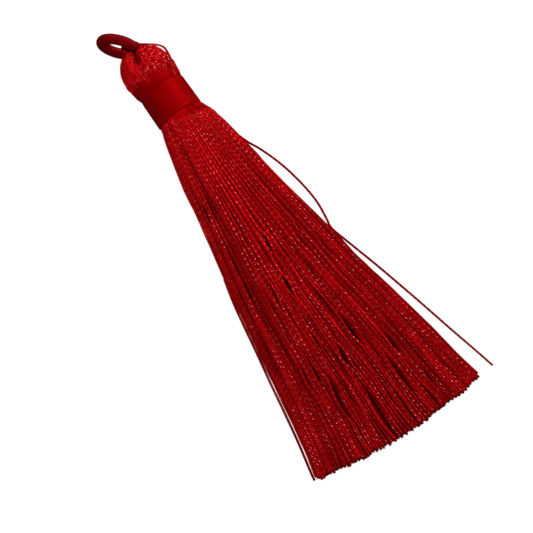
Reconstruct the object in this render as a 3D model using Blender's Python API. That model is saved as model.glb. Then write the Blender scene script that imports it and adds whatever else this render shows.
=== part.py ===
"""Red silk tassel, 8 cm long, lying on a level surface.

A skein of twisted silk is folded through a thread-wound ring. Its fold is the
head, a binding grips it below the head, and its cut ends fan out as the skirt.

Frame: the origin is on the surface under the middle of the binding, +X runs
along the tassel to the hem and +Z is up. Sizes below are millimetres.
"""
import math
import random
from collections import namedtuple

import bmesh
import bpy
from mathutils import Matrix, Vector
from mathutils.geometry import delaunay_2d_cdt

MM = 0.001
GAP = 0.3                    # clearance between two pieces
AXIS_HEIGHT = 4.12           # of the neck above the surface

# Hanging ring: a round ring wound with thread, swung to one side in the fold
RING_RADIUS = 3.00           # of the ring's centre line
RING_THICKNESS = 1.78
RING_CENTRE = Vector((-13.20, -1.90, 4.45))
RING_YAW = 42.6              # degrees between the tassel's axis and the ring
RING_LEAN = 6.5              # degrees between the ring's plane and upright
RING_STEPS = 40
RING_SIDES = 12

# Binding: a close winding of fine thread with soft edges
BINDING_BORE = 3.85
BINDING_STEPS = 48
BindingPoint = namedtuple("BindingPoint", "x radius")
BINDING_OUTLINE = (
    BindingPoint(-3.05, BINDING_BORE),
    BindingPoint(-3.05, 4.00),
    BindingPoint(-2.88, 4.13),
    BindingPoint(-1.00, 4.18),
    BindingPoint(1.00, 4.20),
    BindingPoint(2.88, 4.25),
    BindingPoint(3.05, 4.12),
    BindingPoint(3.05, BINDING_BORE),
)
BINDING_END = BINDING_OUTLINE[-1].x
BINDING_SHARP_ANGLE = 40.0   # degrees, past which two of its faces meet in an edge

# Head, neck and the shoulder that carries the strands. crease is the depth of
# the furrow between the two halves of the fold, rib that of the thread ridges.
CREST = Vector((-12.65, -1.42, 4.45))
NECK_RADIUS = BINDING_BORE - GAP
NECK_END = BINDING_END + GAP
SHOULDER_RADIUS = 4.30
SHOULDER_THICKNESS = 0.25
ROOT_X = NECK_END + SHOULDER_THICKNESS
HeadSection = namedtuple("HeadSection", "x half_width half_height side height crease rib")
HEAD_SECTIONS = (
    HeadSection(-12.40, 0.85, 1.00, -1.30, 4.45, 0.10, 0.00),
    HeadSection(-11.95, 1.45, 1.70, -1.08, 4.45, 0.25, 0.03),
    HeadSection(-11.35, 2.05, 2.35, -0.80, 4.45, 0.35, 0.05),
    HeadSection(-10.80, 2.62, 2.90, -0.50, 4.45, 0.40, 0.06),
    HeadSection(-10.27, 3.15, 3.35, -0.36, 4.45, 0.38, 0.07),
    HeadSection(-9.65, 3.68, 3.80, -0.30, 4.46, 0.30, 0.07),
    HeadSection(-8.70, 4.13, 4.20, -0.28, 4.48, 0.18, 0.07),
    HeadSection(-7.50, 4.50, 4.50, -0.26, 4.50, 0.06, 0.07),
    HeadSection(-6.00, 4.65, 4.62, -0.22, 4.50, 0.00, 0.07),
    HeadSection(-4.70, 4.56, 4.52, -0.12, 4.42, 0.00, 0.07),
    HeadSection(-3.75, 4.36, 4.34, -0.05, 4.26, 0.00, 0.06),
    HeadSection(-NECK_END - 0.02, 4.12, 4.12, 0.00, AXIS_HEIGHT, 0.00, 0.05),
    HeadSection(-NECK_END, NECK_RADIUS, NECK_RADIUS, 0.00, AXIS_HEIGHT, 0.00, 0.00),
    HeadSection(NECK_END, NECK_RADIUS, NECK_RADIUS, 0.00, AXIS_HEIGHT, 0.00, 0.00),
    HeadSection(NECK_END + 0.02, 4.16, 4.16, 0.05, AXIS_HEIGHT + 0.12, 0.00, 0.00),
    HeadSection(ROOT_X, SHOULDER_RADIUS, SHOULDER_RADIUS, 0.10, AXIS_HEIGHT + 0.20, 0.00, 0.00),
)
HEAD_STEPS = 52              # points round a section, two to each ridge
CREASE_ANGLE = 14.0          # degrees from upright, towards -Y
CREASE_SPREAD = 13.0

# Skirt: strands in zigzag layers at the root, which part and settle into
# level layers towards the hem. right and left are the half widths towards +Y
# and -Y, and settle is how far the layers have settled, from 0 to 1.
SkirtSection = namedtuple("SkirtSection", "x right left settle width depth")
SKIRT_SECTIONS = (
    SkirtSection(ROOT_X, 4.30, 4.10, 0.00, 0.38, 0.36),
    SkirtSection(6.5, 5.50, 5.15, 0.04, 0.38, 0.36),
    SkirtSection(12.0, 6.50, 6.45, 0.22, 0.38, 0.36),
    SkirtSection(24.0, 8.25, 8.60, 0.62, 0.44, 0.35),
    SkirtSection(44.0, 11.85, 12.50, 1.00, 0.54, 0.35),
    SkirtSection(69.5, 16.75, 16.30, 1.00, 0.60, 0.35),
)
StrandLayer = namedtuple("StrandLayer", "strands root_reach hem_reach")
STRAND_LAYERS = (
    StrandLayer(16, 0.51, 0.78),
    StrandLayer(24, 0.80, 0.93),
    StrandLayer(28, 0.94, 0.98),
    StrandLayer(30, 1.00, 1.00),
    StrandLayer(28, 0.94, 0.96),
    StrandLayer(24, 0.80, 0.85),
    StrandLayer(16, 0.51, 0.60),
)
ROOT_PITCH = 1.06            # between the layers at the root
ROOT_ZIGZAG = 0.53           # between a layer's upper and lower strands there
ROOT_REACH = 4.0             # from the axis to the outermost strand's middle
ROOT_BEND = 1.0              # length over which the strands turn to the skirt's lines
HEM_PITCH = 0.48
EDGE_RAMP = 4.2              # over which a layer sinks past the one below it
LOCK_WAVES = 6               # locks across a layer
LOCK_PULL = 0.28             # how far strands gather into locks
STRAND_WANDER = 0.05
HEM_X = 69.5
HEM_SAG_RIGHT = 1.7          # how much less the outermost strands reach
HEM_SAG_LEFT = 2.7
HEM_RAGGED = 0.35
LAYER_SHORTFALL = 0.14       # each layer ends this much short of the next above
SEED = 11

# Stray strands at the skirt's two edges: out is measured from the skirt's edge
StrayPoint = namedtuple("StrayPoint", "x out z")
STRAY_WIDTH = 0.40
STRAY_PARTING = 1.0          # least length over which one leaves the skirt's lines
STRAY_RIGHT = (
    StrayPoint(15.0, 0.84, 3.10),
    StrayPoint(17.8, 1.48, 2.45),
    StrayPoint(21.5, 1.92, 1.65),
    StrayPoint(26.0, 1.79, 0.90),
    StrayPoint(29.5, 1.15, 0.42),
    StrayPoint(32.5, 0.42, 0.20),
    StrayPoint(35.0, 0.36, 0.20),
    StrayPoint(42.4, 1.06, 0.20),
    StrayPoint(53.2, 1.66, 0.20),
    StrayPoint(67.6, 2.63, 0.20),
)
STRAY_LEFT = (
    StrayPoint(34.0, 0.02, 0.55),
    StrayPoint(44.0, 0.30, 0.20),
    StrayPoint(56.0, 0.42, 0.20),
    StrayPoint(66.9, 0.38, 0.20),
)
STRAY_LAYER = 2

Strand = namedtuple("Strand", "middles thickest")

Finish = namedtuple("Finish", "slot colour roughness")
SKEIN_SILK = Finish("skein_silk", (0.33, 0.002, 0.004, 1.0), 0.40)
BINDING_SILK = Finish("binding_silk", (0.27, 0.001, 0.003, 1.0), 0.35)
RING_SILK = Finish("ring_silk", (0.11, 0.001, 0.006, 1.0), 0.45)


def clear_scene():
    """Remove every object that the scene holds."""
    for obj in list(bpy.data.objects):
        bpy.data.objects.remove(obj, do_unlink=True)


def silk_material(finish):
    """Return a plain silk finish."""
    material = bpy.data.materials.new(finish.slot)
    material.use_nodes = True
    shader = material.node_tree.nodes["Principled BSDF"]
    shader.inputs["Base Color"].default_value = finish.colour
    shader.inputs["Roughness"].default_value = finish.roughness
    shader.inputs["Metallic"].default_value = 0.0
    return material


def add_object(name, mesh, material):
    """Put a mesh into the scene as a named object with one material."""
    obj = bpy.data.objects.new(name, mesh)
    bpy.context.scene.collection.objects.link(obj)
    mesh.materials.clear()
    mesh.materials.append(material)
    return obj


def mesh_from(bm, name):
    """Close a bmesh: faces out, sizes to metres, and into a mesh."""
    bmesh.ops.recalc_face_normals(bm, faces=bm.faces)
    bmesh.ops.scale(bm, vec=Vector((MM, MM, MM)), verts=bm.verts)
    mesh = bpy.data.meshes.new(name)
    bm.to_mesh(mesh)
    bm.free()
    return mesh


def blend(low, high, share):
    """Mix two numbers."""
    return low + (high - low) * share


def table_value(table, x, column):
    """Read a column of a table of sections at x, straight between its rows."""
    for before, after in zip(table, table[1:]):
        if x <= after.x:
            break
    share = (x - before.x) / (after.x - before.x)
    return blend(getattr(before, column), getattr(after, column), share)


def bridge_rings(bm, lower, upper):
    """Join two rings of the same number of points with four-sided faces."""
    for index in range(len(lower)):
        following = (index + 1) % len(lower)
        bm.faces.new((lower[index], lower[following], upper[following], upper[index]))


# Hanging ring

def ring_placement():
    """Return the matrix that stands the ring in the fold."""
    yaw = math.radians(RING_YAW)
    lean = math.radians(RING_LEAN)
    inward = Vector((math.cos(yaw), math.sin(yaw), 0.0))
    sideways = Vector((-math.sin(yaw), math.cos(yaw), 0.0))
    upward = sideways * math.sin(lean) + Vector((0.0, 0.0, math.cos(lean)))
    normal = inward.cross(upward)
    placement = Matrix((inward, upward, normal)).transposed().to_4x4()
    placement.translation = RING_CENTRE * MM
    return placement


def ring_mesh(name, thickness):
    """Turn a round section about the ring's own axis."""
    bm = bmesh.new()
    rings = []
    for step in range(RING_STEPS):
        turn = 2 * math.pi * step / RING_STEPS
        outward = Vector((math.cos(turn), math.sin(turn), 0.0))
        ring = []
        for side in range(RING_SIDES):
            angle = 2 * math.pi * side / RING_SIDES
            reach = RING_RADIUS + thickness / 2 * math.cos(angle)
            rise = Vector((0.0, 0.0, thickness / 2 * math.sin(angle)))
            ring.append(bm.verts.new(outward * reach + rise))
        rings.append(ring)
    for ring, following in zip(rings, rings[1:] + rings[:1]):
        bridge_rings(bm, ring, following)
    mesh = mesh_from(bm, name)
    mesh.transform(ring_placement())
    return mesh


def build_hanging_ring():
    """Model the wound ring that the skein is folded through."""
    mesh = ring_mesh("hanging_ring", RING_THICKNESS)
    mesh.shade_smooth()
    return add_object("hanging_ring", mesh, silk_material(RING_SILK))


# Neck binding

def build_neck_binding():
    """Model the binding: its outline turned about the neck, flat underneath."""
    bm = bmesh.new()
    rings = []
    for step in range(BINDING_STEPS):
        angle = 2 * math.pi * step / BINDING_STEPS
        ring = []
        for point in BINDING_OUTLINE:
            y = point.radius * math.sin(angle)
            z = AXIS_HEIGHT + point.radius * math.cos(angle)
            ring.append(bm.verts.new((point.x, y, max(z, 0.0))))
        rings.append(ring)
    for ring, following in zip(rings, rings[1:] + rings[:1]):
        bridge_rings(bm, ring, following)
    mesh = mesh_from(bm, "neck_binding")
    mesh.shade_smooth()
    mesh.set_sharp_from_angle(angle=math.radians(BINDING_SHARP_ANGLE))
    return add_object("neck_binding", mesh, silk_material(BINDING_SILK))


# Head and neck of the skein

def furrow_depth(section, angle):
    """Depth of the crease between the fold's two halves at an angle."""
    depth = 0.0
    for middle in (-CREASE_ANGLE, CREASE_ANGLE - 180.0):
        away = (math.degrees(angle) - middle + 180.0) % 360.0 - 180.0
        depth += section.crease * math.exp(-(away / CREASE_SPREAD) ** 2)
    return depth


def head_ring(bm, section):
    """Add one ridged section of the head, kept above the surface."""
    ring = []
    for step in range(HEAD_STEPS):
        angle = 2 * math.pi * step / HEAD_STEPS
        ridge = section.rib if step % 2 else -section.rib
        swell = 1.0 + (ridge - furrow_depth(section, angle)) / section.half_width
        y = section.side + section.half_width * swell * math.sin(angle)
        z = section.height + section.half_height * swell * math.cos(angle)
        ring.append(bm.verts.new((section.x, y, max(z, 0.0))))
    return ring


def loft_head(bm):
    """Model the head and neck, open at the root, and return their last ring."""
    rings = [head_ring(bm, section) for section in HEAD_SECTIONS]
    crest = bm.verts.new(CREST)
    for index, point in enumerate(rings[0]):
        bm.faces.new((crest, rings[0][(index + 1) % HEAD_STEPS], point))
    for ring, following in zip(rings, rings[1:]):
        bridge_rings(bm, ring, following)
    return rings[-1]


# Strands of the skirt

def layer_reach(layer, x):
    """Return how far a layer's outermost strands reach at x, as a share."""
    settle = table_value(SKIRT_SECTIONS, x, "settle")
    return blend(layer.root_reach, layer.hem_reach, settle)


def skirt_edge(x, side):
    """Return the skirt's half width at x, on the side of the sign given."""
    column = "right" if side > 0 else "left"
    return table_value(SKIRT_SECTIONS, x, column)


def strand_side(x, across):
    """Return the y of a strand that lies a share across the whole skirt."""
    width = table_value(SKIRT_SECTIONS, x, "width")
    right = skirt_edge(x, 1) - width / 2
    left = skirt_edge(x, -1) - width / 2
    return blend(-left, right, (across + 1) / 2)


def settled_height(level, x, across):
    """Return a strand's height where its layer lies on those below it."""
    height = table_value(SKIRT_SECTIONS, x, "depth") / 2
    half = (skirt_edge(x, 1) + skirt_edge(x, -1)) / 2
    for layer in STRAND_LAYERS[:level]:
        past = (abs(across) - layer_reach(layer, x)) * half
        height += HEM_PITCH * (1.0 - min(max(past / EDGE_RAMP, 0.0), 1.0))
    return height


def strand_point(level, index, x, lock_phase, wander):
    """Return the middle of a strand at x."""
    layer = STRAND_LAYERS[level]
    settle = table_value(SKIRT_SECTIONS, x, "settle")
    place = 2 * index / (layer.strands - 1) - 1
    gather = math.sin(math.pi * LOCK_WAVES * place + lock_phase)
    end_fade = 1 - place ** 4
    place += settle * end_fade * LOCK_PULL * gather / (math.pi * LOCK_WAVES)
    across = place * layer_reach(layer, x)
    root_y = HEAD_SECTIONS[-1].side + place * layer.root_reach * ROOT_REACH
    y = blend(root_y, strand_side(x, across), min((x - ROOT_X) / ROOT_BEND, 1.0))
    zigzag = ROOT_ZIGZAG / 2 if index % 2 else -ROOT_ZIGZAG / 2
    middle = (len(STRAND_LAYERS) - 1) / 2
    root_z = HEAD_SECTIONS[-1].height + (level - middle) * ROOT_PITCH + zigzag
    z = blend(root_z, settled_height(level, x, across), settle)
    return Vector((x, y + wander * settle * end_fade, z))


def hem_reach(level, place, ragged):
    """Return where a strand ends: a shallow arc, shorter underneath."""
    sag = HEM_SAG_RIGHT if place > 0 else HEM_SAG_LEFT
    above = len(STRAND_LAYERS) - 1 - level
    return HEM_X - sag * abs(place) ** 3 - above * LAYER_SHORTFALL + ragged


def stray_route(level, index, side, route):
    """Return a stray strand's middle line: a skirt strand that springs out."""
    points = []
    for section in SKIRT_SECTIONS:
        if section.x < route[0].x - STRAY_PARTING:
            points.append(strand_point(level, index, section.x, 0.0, 0.0))
    for point in route:
        y = side * (skirt_edge(point.x, side) + point.out)
        points.append(Vector((point.x, y, point.z)))
    return points


def skirt_strands():
    """Return every strand: the points of its middle line and its greatest width."""
    chance = random.Random(SEED)
    strands = []
    for level, layer in enumerate(STRAND_LAYERS):
        lock_phase = chance.uniform(0.0, 2 * math.pi)
        for index in range(layer.strands):
            wander = chance.uniform(-STRAND_WANDER, STRAND_WANDER)
            ragged = chance.uniform(-HEM_RAGGED, HEM_RAGGED)
            place = 2 * index / (layer.strands - 1) - 1
            if level == STRAY_LAYER and index == layer.strands - 1:
                middles = stray_route(level, index, 1, STRAY_RIGHT)
                strands.append(Strand(middles, STRAY_WIDTH))
            elif level == STRAY_LAYER and index == 0:
                middles = stray_route(level, index, -1, STRAY_LEFT)
                strands.append(Strand(middles, STRAY_WIDTH))
            else:
                reach = hem_reach(level, place * layer.hem_reach, ragged)
                stops = [section.x for section in SKIRT_SECTIONS[:-1]] + [reach]
                middles = [strand_point(level, index, x, lock_phase, wander) for x in stops]
                strands.append(Strand(middles, math.inf))
    return strands


def strand_ring(bm, middle, thickest):
    """Add a strand's four-sided section round its middle."""
    width = min(table_value(SKIRT_SECTIONS, middle.x, "width"), thickest)
    depth = table_value(SKIRT_SECTIONS, middle.x, "depth")
    corners = ((-1, -1), (1, -1), (1, 1), (-1, 1))
    ring = []
    for across, up in corners:
        offset = Vector((0.0, across * width / 2, up * depth / 2))
        ring.append(bm.verts.new(middle + offset))
    return ring


def add_strand(bm, strand):
    """Model a strand from its root ring to its closed end and return that ring."""
    rings = [strand_ring(bm, middle, strand.thickest) for middle in strand.middles]
    for ring, following in zip(rings, rings[1:]):
        bridge_rings(bm, ring, following)
    bm.faces.new(rings[-1])
    return rings[0]


def fill_root_face(bm, rim, roots):
    """Close the shoulder's end face round the roots of the strands."""
    points = rim + [vertex for ring in roots for vertex in ring]
    flat = [Vector((point.co.y, point.co.z)) for point in points]
    faces = [list(range(len(rim)))]
    for number in range(len(roots)):
        first = len(rim) + 4 * number
        faces.append([first, first + 1, first + 2, first + 3])
    result = delaunay_2d_cdt(flat, [], faces, 1, 1e-6)
    triangles, sources = result[2], result[3]
    for triangle in triangles:
        corners = [sources[corner][0] for corner in triangle]
        owners = {(corner - len(rim)) // 4 for corner in corners}
        inside_strand = len(owners) == 1 and min(corners) >= len(rim)
        if not inside_strand:
            bm.faces.new([points[corner] for corner in corners])


def build_thread_bundle():
    """Model the folded skein: head, neck and strands, with the ring's seat."""
    bm = bmesh.new()
    rim = loft_head(bm)
    roots = [add_strand(bm, strand) for strand in skirt_strands()]
    fill_root_face(bm, rim, roots)
    mesh = mesh_from(bm, "thread_bundle")
    bundle = add_object("thread_bundle", mesh, silk_material(SKEIN_SILK))

    seat_mesh = ring_mesh("ring_seat", RING_THICKNESS + 2 * GAP)
    seat = add_object("ring_seat", seat_mesh, bundle.data.materials[0])
    seat.hide_render = True
    seat.display_type = "WIRE"
    cut = bundle.modifiers.new("ring_seat", "BOOLEAN")
    cut.operation = "DIFFERENCE"
    cut.solver = "EXACT"
    cut.object = seat
    return bundle


def main():
    """Build the tassel's three pieces."""
    clear_scene()
    build_hanging_ring()
    build_thread_bundle()
    build_neck_binding()


main()
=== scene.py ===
"""A red silk tassel on a light table: its threads, windings, finishes and studio.

The frame holds the solids. This script spins the skein's threads as two plies each, winds
the neck binding and the hanging ring, dyes them and lights them. Sizes in the classes are
millimetres in the frame's axes: +X runs from the head to the hem and +Z is up.
"""
from __future__ import annotations

import logging
import math
from dataclasses import dataclass, field
from enum import Enum
from functools import partial
from typing import Any, Callable, NamedTuple, Sequence

import bmesh
import bpy
import numpy as np
from bpy.types import Material, Node, NodeSocket, NodeTree, Object
from mathutils import Matrix, Vector

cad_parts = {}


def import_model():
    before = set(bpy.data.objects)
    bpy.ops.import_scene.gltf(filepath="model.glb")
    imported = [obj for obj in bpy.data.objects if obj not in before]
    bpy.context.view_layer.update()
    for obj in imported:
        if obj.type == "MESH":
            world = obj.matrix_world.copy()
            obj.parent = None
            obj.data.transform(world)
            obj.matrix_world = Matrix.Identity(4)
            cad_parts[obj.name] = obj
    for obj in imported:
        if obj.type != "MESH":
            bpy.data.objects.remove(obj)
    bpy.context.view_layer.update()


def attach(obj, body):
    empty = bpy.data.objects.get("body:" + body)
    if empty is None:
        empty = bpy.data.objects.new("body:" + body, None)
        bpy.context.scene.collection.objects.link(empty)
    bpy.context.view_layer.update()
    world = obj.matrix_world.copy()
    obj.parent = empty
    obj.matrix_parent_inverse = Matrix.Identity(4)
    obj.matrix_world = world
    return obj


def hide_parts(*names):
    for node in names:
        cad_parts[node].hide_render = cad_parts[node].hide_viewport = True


LOG = logging.getLogger("tassel")
MM = 0.001
TURN = 2 * math.pi
BODY = "root"
AXIS_HEIGHT = 4.12           # of the neck above the table

Points = np.ndarray
Value = np.ndarray | float
Chance = np.random.Generator
Pair = tuple[float, float]
Triple = tuple[float, float, float]

# A colour Mix node's sockets go by number, because several of them share a name.
MIX_SHARE, MIX_LOW, MIX_HIGH, MIX_COLOUR = 0, 6, 7, 2


# Small tools

def blend(low: Value, high: Value, share: Value) -> Value:
    """Mix two numbers or arrays."""
    return low + (high - low) * share


def wrapped(angle: Value) -> Value:
    """Return an angle in degrees between -180 and 180."""
    return (angle + 180.0) % 360.0 - 180.0


def smooth_noise(chance: Chance, x: Points, wavelength: float) -> Points:
    """Wander smoothly between about -1 and 1 along x.

    Args:
        chance: The seeded source of chance.
        x: Places along the thread.
        wavelength: The length of the longest wave.

    Returns:
        The wander at each place.
    """
    octaves = (1.0, 1.7, 2.9)
    usual_peak = 1.6
    total = np.zeros_like(x)
    for octave in octaves:
        total += np.sin(TURN * octave * x / wavelength + chance.uniform(0.0, TURN)) / octave
    return total / usual_peak


class Measures:
    """Rows of measures under named columns, read straight between rows by the first column."""

    def __init__(self, names: str, *rows: Sequence[float]) -> None:
        """Keep each column under its name."""
        self.columns = dict(zip(names.split(), np.array(rows).T))
        self.stops = np.array(rows)[:, 0]

    def at(self, name: str, where: Value) -> Points:
        """Return a column at places along the first one."""
        return np.interp(where, self.stops, self.columns[name])


def linear(hex_colour: str) -> tuple[float, ...]:
    """Turn an sRGB hex colour to linear light, by the sRGB curve.

    Args:
        hex_colour: Six hex digits after a #.

    Returns:
        Red, green, blue and an alpha of one.
    """
    parts = [int(hex_colour[start:start + 2], 16) / 255 for start in (1, 3, 5)]
    light = [part / 12.92 if part <= 0.04045 else ((part + 0.055) / 1.055) ** 2.4 for part in parts]
    return (*light, 1.0)


def add_node(tree: NodeTree, kind: str, inputs: dict[str | int, Any] | None = None,
             **settings: Any) -> Node:
    """Add one node with its links and settings to a shader or geometry tree.

    Args:
        tree: The tree that gets the node.
        kind: The node's type.
        inputs: What goes into its inputs, by name or number: a socket to link, a node whose
            first output is linked, or a constant.
        settings: The node's own properties.

    Returns:
        The new node.
    """
    node = tree.nodes.new(kind)
    for name, value in settings.items():
        setattr(node, name, value)
    for name, value in (inputs or {}).items():
        source = value.outputs[0] if isinstance(value, Node) else value
        if isinstance(source, NodeSocket):
            tree.links.new(source, node.inputs[name])
        else:
            node.inputs[name].default_value = source
    return node


def geometry_tree(name: str, inputs: dict[str, str]) -> tuple[NodeTree, dict[str, NodeSocket]]:
    """Start a geometry tree with named inputs.

    Args:
        name: The tree's name.
        inputs: The socket type of each input past the geometry itself, by name.

    Returns:
        The tree, and what its inputs give, by name.
    """
    tree = bpy.data.node_groups.new(name, "GeometryNodeTree")
    tree.interface.new_socket(name="Geometry", in_out="OUTPUT", socket_type="NodeSocketGeometry")
    for entry, kind in {"Geometry": "Geometry", **inputs}.items():
        tree.interface.new_socket(name=entry, in_out="INPUT", socket_type=f"NodeSocket{kind}")
    given = add_node(tree, "NodeGroupInput").outputs
    return tree, {entry: given[entry] for entry in ("Geometry", *inputs)}


def end_tree(tree: NodeTree, shape: Node, silk: NodeSocket, smooth: bool) -> NodeTree:
    """Close a geometry tree: smooth or flat faces, real instances and a material.

    Args:
        tree: The tree to close.
        shape: The node that gives the finished shape.
        silk: The input that gives its material.
        smooth: Whether the faces are shaded as one smooth skin.

    Returns:
        The same tree.
    """
    shaded = add_node(tree, "GeometryNodeSetShadeSmooth", {"Geometry": shape, "Shade Smooth": smooth})
    real = add_node(tree, "GeometryNodeRealizeInstances", {"Geometry": shaded})
    dyed = add_node(tree, "GeometryNodeSetMaterial", {"Geometry": real, "Material": silk})
    add_node(tree, "NodeGroupOutput", {0: dyed})
    return tree


def in_scene(name: str, data: bpy.types.ID) -> Object:
    """Put a mesh, light or camera in the scene as an object.

    Args:
        name: The object's name.
        data: What it holds.

    Returns:
        The new object.
    """
    obj = bpy.data.objects.new(name, data)
    bpy.context.scene.collection.objects.link(obj)
    return obj


def grow(obj: Object, tree: NodeTree, values: dict[str, Any]) -> Object:
    """Run a geometry tree on an object and keep the result as its plain mesh.

    Args:
        obj: A mesh object that holds the tree's source.
        tree: The geometry tree.
        values: The tree's inputs by name.

    Returns:
        The same object with its new mesh and no modifier.
    """
    modifier = obj.modifiers.new(tree.name, "NODES")
    modifier.node_group = tree
    for item in tree.interface.items_tree:
        if item.in_out == "INPUT" and item.name in values:
            modifier[item.identifier] = values[item.name]
    graph = bpy.context.evaluated_depsgraph_get()
    mesh = bpy.data.meshes.new_from_object(obj.evaluated_get(graph), depsgraph=graph)
    obj.modifiers.remove(modifier)
    source = obj.data
    obj.data = mesh
    mesh.name = obj.name
    bpy.data.meshes.remove(source)
    return obj


class Route(NamedTuple):
    """A thread's middle line in millimetres, and how it is spun along it."""

    points: Points
    phase: Value = 0.0       # how far the plies are turned, in radians
    girth: Value = 1.0       # thickness, against the usual
    tone: Value = 0.0        # how the dye took, with painted shade and light added, from about -1 to 1


def line_object(name: str, routes: Sequence[Route], closed: bool = False) -> Object:
    """Hold routes as edges, with each point's phase, girth and tone as attributes.

    Args:
        name: The object's name.
        routes: The routes.
        closed: Whether each route joins its own start.

    Returns:
        The new object, in the scene.
    """
    edges = []
    start = 0
    for route in routes:
        count = len(route.points)
        edges += [(start + step, start + (step + 1) % count) for step in range(count - 1 + closed)]
        start += count
    mesh = bpy.data.meshes.new(name)
    mesh.from_pydata((np.concatenate([route.points for route in routes]) * MM).tolist(), edges, [])
    for attribute in ("phase", "girth", "tone"):
        values = [np.broadcast_to(getattr(route, attribute), len(route.points)) for route in routes]
        held = mesh.attributes.new(attribute, "FLOAT", "POINT")
        held.data.foreach_set("value", np.concatenate(values).astype(np.float32))
    return in_scene(name, mesh)


def loft(name: str, rings: Sequence[Points], material: Material) -> Object:
    """Skin closed rings of points, with both ends closed and the faces outwards.

    Args:
        name: The object's name.
        rings: Rings of as many points each, in millimetres.
        material: The skin's material.

    Returns:
        The new object, in the scene.
    """
    bm = bmesh.new()
    corners = [[bm.verts.new(Vector(point) * MM) for point in ring] for ring in rings]
    for ring, following in zip(corners, corners[1:]):
        for index, corner in enumerate(ring):
            after = (index + 1) % len(ring)
            bm.faces.new((corner, ring[after], following[after], following[index]))
    bm.faces.new(corners[0])
    bm.faces.new(corners[-1])
    bmesh.ops.recalc_face_normals(bm, faces=bm.faces)
    mesh = bpy.data.meshes.new(name)
    bm.to_mesh(mesh)
    bm.free()
    mesh.shade_smooth()
    mesh.materials.append(material)
    return in_scene(name, mesh)


# Finishes

def new_material(name: str) -> tuple[Material, Callable[..., Node]]:
    """Start a material with an empty tree.

    Args:
        name: The material's name.

    Returns:
        The material, and add_node for its tree.
    """
    material = bpy.data.materials.new(name)
    material.use_nodes = True
    material.node_tree.nodes.clear()
    return material, partial(add_node, material.node_tree)


@dataclass(frozen=True)
class DyedSilk:
    """A dyed silk: what light does on its filaments, how the dye took, and painted shade in its grooves
    and tones.
    """

    name: str
    body: str                # the dye where light falls full on it
    deep: str                # the darker threads' dye, and the colour of the painted shade down between the plies
    roughness: float
    dullness: float          # roughness added where the filaments lie less even
    patch_mm: Triple     # size of such places along X, Y and Z
    gloss: str               # tint of the glints, which carry the dye
    specular: float
    fibre_mm: float          # size of the filaments' unevenness, as coarse as it needs to show
    fibre_relief_mm: float
    tone_spread: float       # how far threads differ in tone
    metallic: float          # share of the gloss that comes back through the dyed filaments
    ior: float = 1.55
    cloud_mm: float = 3.5    # size of the places where the dye took more or less
    dye_span: Pair = (0.55, 1.45)    # tone and cloud together, from the deep dye to the full one
    groove_painted_shade: float = 0.80       # painted shade: what is left of the full dye's brightness down in the grooves, and all over pieces without plies
    crest_from: float = 0.9  # where the grooves' painted shade ends, as a share of the lobes' reach
    noise_span: Pair = (0.35, 0.65)  # the range of noise that turns roughness from least to most

    def material(self) -> Material:
        """Mix the finish.

        Returns:
            It, as a node material.
        """
        material, add = new_material(self.name)
        place = add("ShaderNodeTexCoord").outputs["Object"]
        tone, crest = (add("ShaderNodeAttribute", attribute_name=name).outputs["Fac"]
                       for name in ("tone", "crest"))
        cloud = add("ShaderNodeTexNoise", {
            "Vector": place, "Scale": 1 / (self.cloud_mm * MM), "Detail": 2.0})
        spread = add("ShaderNodeMath", {0: tone, 1: self.tone_spread, 2: 0.5}, operation="MULTIPLY_ADD")
        dye_and_shade = add("ShaderNodeMath", {0: spread, 1: cloud}, operation="ADD")
        lift = add("ShaderNodeMapRange", {
            "Value": dye_and_shade, "From Min": self.dye_span[0], "From Max": self.dye_span[1]})
        # Painted shade: the colour darkens from the lobes' crests down into the grooves between the plies.
        painted_groove_shade = add("ShaderNodeMapRange", {
            "Value": crest, "From Max": self.crest_from, "To Min": self.groove_painted_shade})
        share = add("ShaderNodeMath", {0: lift, 1: painted_groove_shade}, operation="MULTIPLY")
        colour = add("ShaderNodeMix", {
            MIX_SHARE: share, MIX_LOW: linear(self.deep), MIX_HIGH: linear(self.body)},
            data_type="RGBA").outputs[MIX_COLOUR]
        spots = add("ShaderNodeVectorMath", {
            0: place, 1: [1 / (size * MM) for size in self.patch_mm]}, operation="MULTIPLY")
        patch = add("ShaderNodeTexNoise", {"Vector": spots, "Scale": 1.0, "Detail": 0.0})
        fibre = add("ShaderNodeTexNoise", {
            "Vector": place, "Scale": 1 / (self.fibre_mm * MM), "Detail": 1.0})
        relief = add("ShaderNodeBump", {
            "Height": fibre, "Strength": 1.0, "Distance": self.fibre_relief_mm * MM})
        dull = add("ShaderNodeMapRange", {
            "Value": patch, "From Min": self.noise_span[0], "From Max": self.noise_span[1],
            "To Min": self.roughness, "To Max": self.roughness + self.dullness})
        shader = add("ShaderNodeBsdfPrincipled", {
            "Base Color": colour, "Roughness": dull, "IOR": self.ior,
            "Specular IOR Level": self.specular, "Specular Tint": linear(self.gloss),
            "Metallic": self.metallic, "Normal": relief})
        add("ShaderNodeOutputMaterial", {"Surface": shader})
        return material


# Spun silk glints in short dashes, one for each turn of a ply, and goes deep red between them, with
# painted shade down between the plies.
SKEIN_SILK = DyedSilk(
    name="two_ply_spun_silk", body="#D0000A", deep="#900004", roughness=0.19, dullness=0.08,
    patch_mm=(0.5, 0.5, 0.5), gloss="#FF9090", specular=0.43, fibre_mm=0.22,
    fibre_relief_mm=0.0015, tone_spread=0.50, metallic=0.06)
# Where the binding squeezes it the same silk lies flat: no glints, only a soft satin, in deeper reds that
# are painted shade.
PRESSED_SHADED_SILK = DyedSilk(
    name="pressed_spun_silk_painted_shade", body="#A80003", deep="#8C0002", roughness=0.34, dullness=0.16,
    patch_mm=(3.0, 0.35, 0.35), gloss="#FF2020", specular=0.12, fibre_mm=0.30,
    fibre_relief_mm=0.003, tone_spread=0.60, metallic=0.35)
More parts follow.
